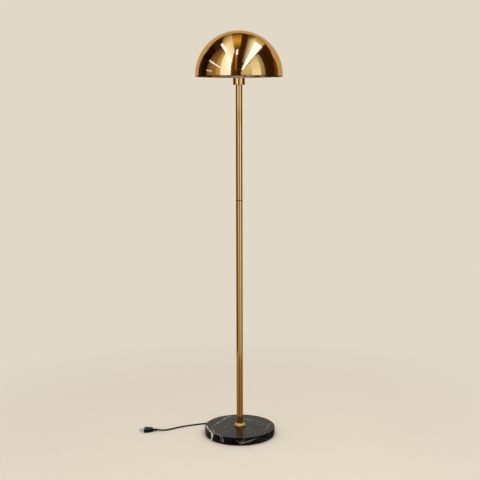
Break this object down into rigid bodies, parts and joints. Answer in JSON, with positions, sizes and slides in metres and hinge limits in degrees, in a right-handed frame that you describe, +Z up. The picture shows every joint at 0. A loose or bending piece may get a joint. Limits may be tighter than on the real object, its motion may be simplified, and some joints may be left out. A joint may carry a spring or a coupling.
{
  "type": "mushroom floor lamp",
  "caption": "Floor lamp with a polished dome shade on a slim two-length pole, a round marble base and a loose mains cord with a plug.",
  "frame": {"origin": "centre of the base's underside, on the floor", "axes": "+Z up along the pole, +Y towards the back of the lamp, where the switch knob points and the cord leaves, +X to the right of someone who faces the lamp's front"},
  "size_m": [0.549, 0.3487, 1.5186],
  "materials": {
    "marble": "polished black with white veins",
    "felt": "matt felt",
    "polished_brass": "polished",
    "plated_steel": "zinc plated",
    "carrier_metal": "satin",
    "holder_plastic": "matt moulded",
    "contact_brass": "bare",
    "switch_plastic": "matt moulded",
    "switch_metal": "bare",
    "bulb_opal": "opal",
    "bulb_housing": "gloss",
    "bulb_cap_metal": "nickel plated",
    "bulb_insulation": "gloss",
    "cord_rubber": "matt sheath",
    "wire_insulation": "matt",
    "tie_strap": "matt strap",
    "plug_rubber": "matt moulded",
    "plug_metal": "nickel plated"
  },
  "bodies": {
    "lamp": {"marble_base": "marble", "felt_pad": "felt", "base_collar": "polished_brass", "lower_tube": "polished_brass", "upper_tube": "polished_brass", "lampholder_cup": "polished_brass", "dome_shade": "polished_brass", "base_washer": "plated_steel", "base_nut": "plated_steel", "base_nipple": "plated_steel", "lower_tube_foot_bush": "plated_steel", "lower_tube_top_bush": "plated_steel", "joint_nipple": "plated_steel", "upper_tube_foot_bush": "plated_steel", "upper_tube_top_bush": "plated_steel", "top_nipple": "plated_steel", "cup_nut": "plated_steel", "shade_carrier": "carrier_metal", "lampholder_cap": "holder_plastic", "lampholder_skirt": "holder_plastic", "lampholder_core": "holder_plastic", "shade_ring_lower": "holder_plastic", "shade_ring_upper": "holder_plastic", "screw_shell": "contact_brass", "centre_contact": "contact_brass", "terminal_screws": "contact_brass", "switch_bush": "switch_plastic", "bulb_globe": "bulb_opal", "bulb_body": "bulb_housing", "bulb_cap": "bulb_cap_metal", "bulb_tip": "bulb_cap_metal", "bulb_insulator": "bulb_insulation", "cord_grommet": "cord_rubber", "inner_cable": "cord_rubber", "cord_root": "cord_rubber", "cord_hank": "cord_rubber", "cord_lead": "cord_rubber", "core_wires": "wire_insulation", "hank_strap": "tie_strap", "plug_boot": "plug_rubber", "plug_body": "plug_rubber", "plug_pins": "plug_metal"},
    "switch_rotor": {"switch_stem": "switch_metal", "switch_knob": "switch_plastic"}
  },
  "joints": [
    {"name": "switch_turn", "type": "hinge", "parent": "lamp", "child": "switch_rotor", "pos_m": [0, 0.03, 1.3622], "axis": [0, 1, 0], "continuous": true}
  ]
}
